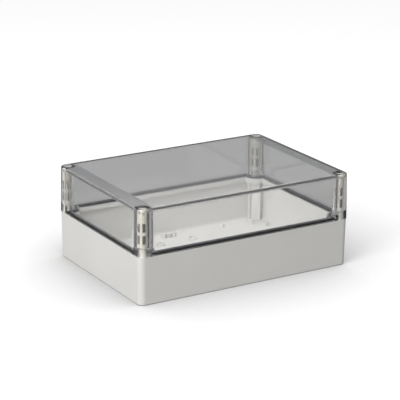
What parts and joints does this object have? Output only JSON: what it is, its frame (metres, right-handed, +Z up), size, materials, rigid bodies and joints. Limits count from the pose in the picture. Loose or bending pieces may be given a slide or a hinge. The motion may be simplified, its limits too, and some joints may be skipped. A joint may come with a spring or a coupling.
{
  "type": "hinged polycarbonate enclosure",
  "caption": "Grey moulded electronics box with a clear cover that swings open on hinges hidden in its rear corner screws, sealed by a black gasket.",
  "frame": {"origin": "centre of the footprint, on the ground under the base", "axes": "+X along the length, +Y towards the hinge side, +Z up"},
  "size_m": [0.255, 0.18, 0.102],
  "materials": {
    "base_grey": "satin moulded, light grey",
    "clear_polycarbonate": "polished, clear",
    "black_foam": "matt closed-cell foam",
    "cream_polyamide": "satin moulded, natural cream",
    "brass_tip": "turned",
    "steel_pin": "ground"
  },
  "bodies": {
    "base": {"base_shell": "base_grey", "front_left_catch_bush": "cream_polyamide", "front_right_catch_bush": "cream_polyamide", "rear_left_guide_bush": "cream_polyamide", "rear_right_guide_bush": "cream_polyamide"},
    "hinge_anchors": {"rear_left_hinge_anchor": "cream_polyamide", "rear_right_hinge_anchor": "cream_polyamide", "rear_left_hinge_pin": "steel_pin", "rear_right_hinge_pin": "steel_pin"},
    "cover": {"cover_shell": "clear_polycarbonate", "gasket": "black_foam", "rear_left_hinge_stem": "cream_polyamide", "rear_right_hinge_stem": "cream_polyamide"},
    "front_left_screw": {"front_left_cover_screw": "cream_polyamide", "front_left_bayonet_tip": "brass_tip"},
    "front_right_screw": {"front_right_cover_screw": "cream_polyamide", "front_right_bayonet_tip": "brass_tip"},
    "rear_left_barrel": {"rear_left_screw_barrel": "cream_polyamide"},
    "rear_right_barrel": {"rear_right_screw_barrel": "cream_polyamide"}
  },
  "joints": [
    {"name": "anchor_lift", "type": "slide", "parent": "base", "child": "hinge_anchors", "axis": [0, 0, 1], "range_m": [0, 0.0166]},
    {"name": "cover_hinge", "type": "hinge", "parent": "hinge_anchors", "child": "cover", "pos_m": [0, 0.0818, 0.0485], "axis": [-1, 0, 0], "range_deg": [0, 110]},
    {"name": "front_left_screw_turn", "type": "hinge", "parent": "cover", "child": "front_left_screw", "pos_m": [-0.1193, -0.0818, 0.101], "axis": [0, 0, 1], "range_deg": [0, 90]},
    {"name": "front_right_screw_turn", "type": "hinge", "parent": "cover", "child": "front_right_screw", "pos_m": [0.1193, -0.0818, 0.101], "axis": [0, 0, 1], "range_deg": [0, 90]},
    {"name": "rear_left_barrel_turn", "type": "hinge", "parent": "cover", "child": "rear_left_barrel", "pos_m": [-0.1193, 0.0818, 0.101], "axis": [0, 0, 1], "range_deg": [0, 90]},
    {"name": "rear_right_barrel_turn", "type": "hinge", "parent": "cover", "child": "rear_right_barrel", "pos_m": [0.1193, 0.0818, 0.101], "axis": [0, 0, 1], "range_deg": [0, 90]}
  ],
  "couplings": [
    {"joint": "anchor_lift", "follows": "cover_hinge", "m_per_rad": 0.0086}
  ]
}
